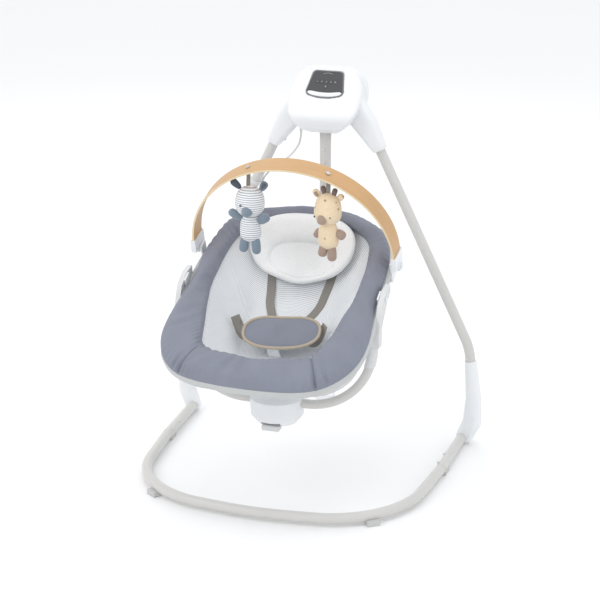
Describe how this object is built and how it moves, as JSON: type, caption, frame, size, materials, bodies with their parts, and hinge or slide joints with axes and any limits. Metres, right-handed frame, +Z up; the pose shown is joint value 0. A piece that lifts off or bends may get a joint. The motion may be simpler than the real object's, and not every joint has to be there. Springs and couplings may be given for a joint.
{
  "type": "baby swing",
  "caption": "Powered baby swing: tube floor stand, rear motor housing on two legs, single pendulum arm, turning padded seat with toy arch.",
  "frame": {"origin": "floor level, in the middle of the stand's footprint", "axes": "+X to the right as seen from the front, +Y from the foot end to the motor housing, +Z up"},
  "size_m": [0.826, 0.8431, 0.951],
  "materials": {
    "tube_paint": "satin light warm grey enamel",
    "foot_rubber": "matte soft rubber",
    "white_plastic": "fine-grained white moulding",
    "grey_plastic": "fine-grained light grey moulding",
    "panel_gloss": "dark glossy lens",
    "panel_trim": "silvery painted trim",
    "key_gloss": "dark glossy caps",
    "board": "coated circuit board",
    "black_plastic": "black moulding",
    "steel": "bright zinc-plated steel",
    "acetal": "unfilled acetal",
    "cord_jacket": "smooth pale vinyl jacket",
    "rim_cloth": "plain woven blue-grey cloth over foam",
    "liner_cloth": "cool white knit with fine grey stripes",
    "plush": "short white plush",
    "webbing": "taupe woven webbing",
    "pad_cloth": "blue-grey cloth with beige piping",
    "beech": "clear matt lacquer on beech veneer",
    "toy_stripes": "plush with blue-grey stripes",
    "toy_spots": "cream plush with brown spots"
  },
  "bodies": {
    "stand": {"floor_tube_front": "tube_paint", "floor_tube_left": "tube_paint", "floor_tube_right": "tube_paint", "ankle_left": "grey_plastic", "ankle_right": "grey_plastic", "leg_left": "tube_paint", "leg_right": "tube_paint", "front_feet": "foot_rubber", "rear_feet": "foot_rubber", "tube_buttons": "grey_plastic", "housing_front": "white_plastic", "housing_rear": "white_plastic", "panel_frame": "panel_trim", "control_panel": "panel_gloss", "circuit_board": "board", "loudspeaker": "black_plastic", "arm_screws": "steel", "drive_chassis": "grey_plastic", "axle_bearings": "acetal", "drive_motor": "steel", "lead_socket": "black_plastic", "lead_clip": "grey_plastic", "lead_plug": "cord_jacket", "lead_cord": "cord_jacket", "lead_coil": "cord_jacket", "lead_tail": "cord_jacket", "wall_adapter": "white_plastic"},
    "key_speed_down_cap": {"key_speed_down": "key_gloss"},
    "key_speed_up_cap": {"key_speed_up": "key_gloss"},
    "key_melody_cap": {"key_melody": "key_gloss"},
    "key_volume_cap": {"key_volume": "key_gloss"},
    "key_timer_cap": {"key_timer": "key_gloss"},
    "key_power_cap": {"key_power": "key_gloss"},
    "pinion": {"motor_pinion": "acetal"},
    "crank_gear": {"drive_gear": "acetal"},
    "hanger": {"swing_axle": "steel", "pivot_bracket": "grey_plastic", "hanger_upper_tube": "tube_paint", "hanger_lower_tube": "tube_paint", "hanger_buttons": "grey_plastic", "hub_base": "white_plastic"},
    "lever": {"release_lever": "grey_plastic"},
    "turntable": {"hub_top": "white_plastic", "cradle_tube": "tube_paint", "side_rail_left": "grey_plastic", "side_rail_right": "grey_plastic"},
    "seat": {"seat_ring": "steel", "pivot_brackets": "white_plastic", "rim_pad": "rim_cloth", "seat_liner": "liner_cloth", "head_pillow": "plush", "shoulder_straps": "webbing", "waist_straps": "webbing", "crotch_pad": "pad_cloth", "bar_mounts": "white_plastic"},
    "play_arch": {"toy_bar": "beech", "bar_cups": "white_plastic", "bar_studs": "steel"},
    "striped_animal": {"striped_toy": "toy_stripes"},
    "spotted_animal": {"spotted_toy": "toy_spots"}
  },
  "joints": [
    {"name": "speed_down_press", "type": "slide", "parent": "stand", "child": "key_speed_down_cap", "axis": [0, 0.7547, -0.6561], "range_m": [0, 0.0006], "stiffness_N_per_m": 900},
    {"name": "speed_up_press", "type": "slide", "parent": "stand", "child": "key_speed_up_cap", "axis": [0, 0.7547, -0.6561], "range_m": [0, 0.0006], "stiffness_N_per_m": 900},
    {"name": "melody_press", "type": "slide", "parent": "stand", "child": "key_melody_cap", "axis": [0, 0.7547, -0.6561], "range_m": [0, 0.0006], "stiffness_N_per_m": 900},
    {"name": "volume_press", "type": "slide", "parent": "stand", "child": "key_volume_cap", "axis": [0, 0.7547, -0.6561], "range_m": [0, 0.0006], "stiffness_N_per_m": 900},
    {"name": "timer_press", "type": "slide", "parent": "stand", "child": "key_timer_cap", "axis": [0, 0.7547, -0.6561], "range_m": [0, 0.0006], "stiffness_N_per_m": 900},
    {"name": "power_press", "type": "slide", "parent": "stand", "child": "key_power_cap", "axis": [0, 0.7547, -0.6561], "range_m": [0, 0.0006], "stiffness_N_per_m": 900},
    {"name": "gear_spin", "type": "hinge", "parent": "stand", "child": "crank_gear", "pos_m": [0, 0.316, 0.907], "axis": [0, 1, 0], "continuous": true},
    {"name": "pinion_spin", "type": "hinge", "parent": "stand", "child": "pinion", "pos_m": [-0.0301, 0.316, 0.907], "axis": [0, 1, 0], "continuous": true},
    {"name": "swing", "type": "hinge", "parent": "stand", "child": "hanger", "pos_m": [0, 0.289, 0.865], "axis": [0, 1, 0], "range_deg": [-12, 12]},
    {"name": "lever_pull", "type": "slide", "parent": "hanger", "child": "lever", "axis": [0, 0, 1], "range_m": [0, 0.003], "stiffness_N_per_m": 400},
    {"name": "seat_turn", "type": "hinge", "parent": "hanger", "child": "turntable", "pos_m": [0, -0.102, 0.215], "axis": [0, 0, 1], "range_deg": [-90, 90]},
    {"name": "seat_recline", "type": "hinge", "parent": "turntable", "child": "seat", "pos_m": [0, -0.0646, 0.4974], "axis": [1, 0, 0], "range_deg": [-8, 0]},
    {"name": "arch_tilt", "type": "hinge", "parent": "seat", "child": "play_arch", "pos_m": [0, 0.0466, 0.5479], "axis": [1, 0, 0], "range_deg": [-50, 20]},
    {"name": "striped_swing", "type": "hinge", "parent": "play_arch", "child": "striped_animal", "pos_m": [-0.098, -0.0158, 0.7656], "axis": [0, 1, 0], "range_deg": [-20, 20]},
    {"name": "spotted_swing", "type": "hinge", "parent": "play_arch", "child": "spotted_animal", "pos_m": [0.098, -0.0158, 0.7656], "axis": [0, 1, 0], "range_deg": [-20, 20]}
  ],
  "couplings": [
    {"joint": "pinion_spin", "follows": "gear_spin", "ratio": -4}
  ]
}
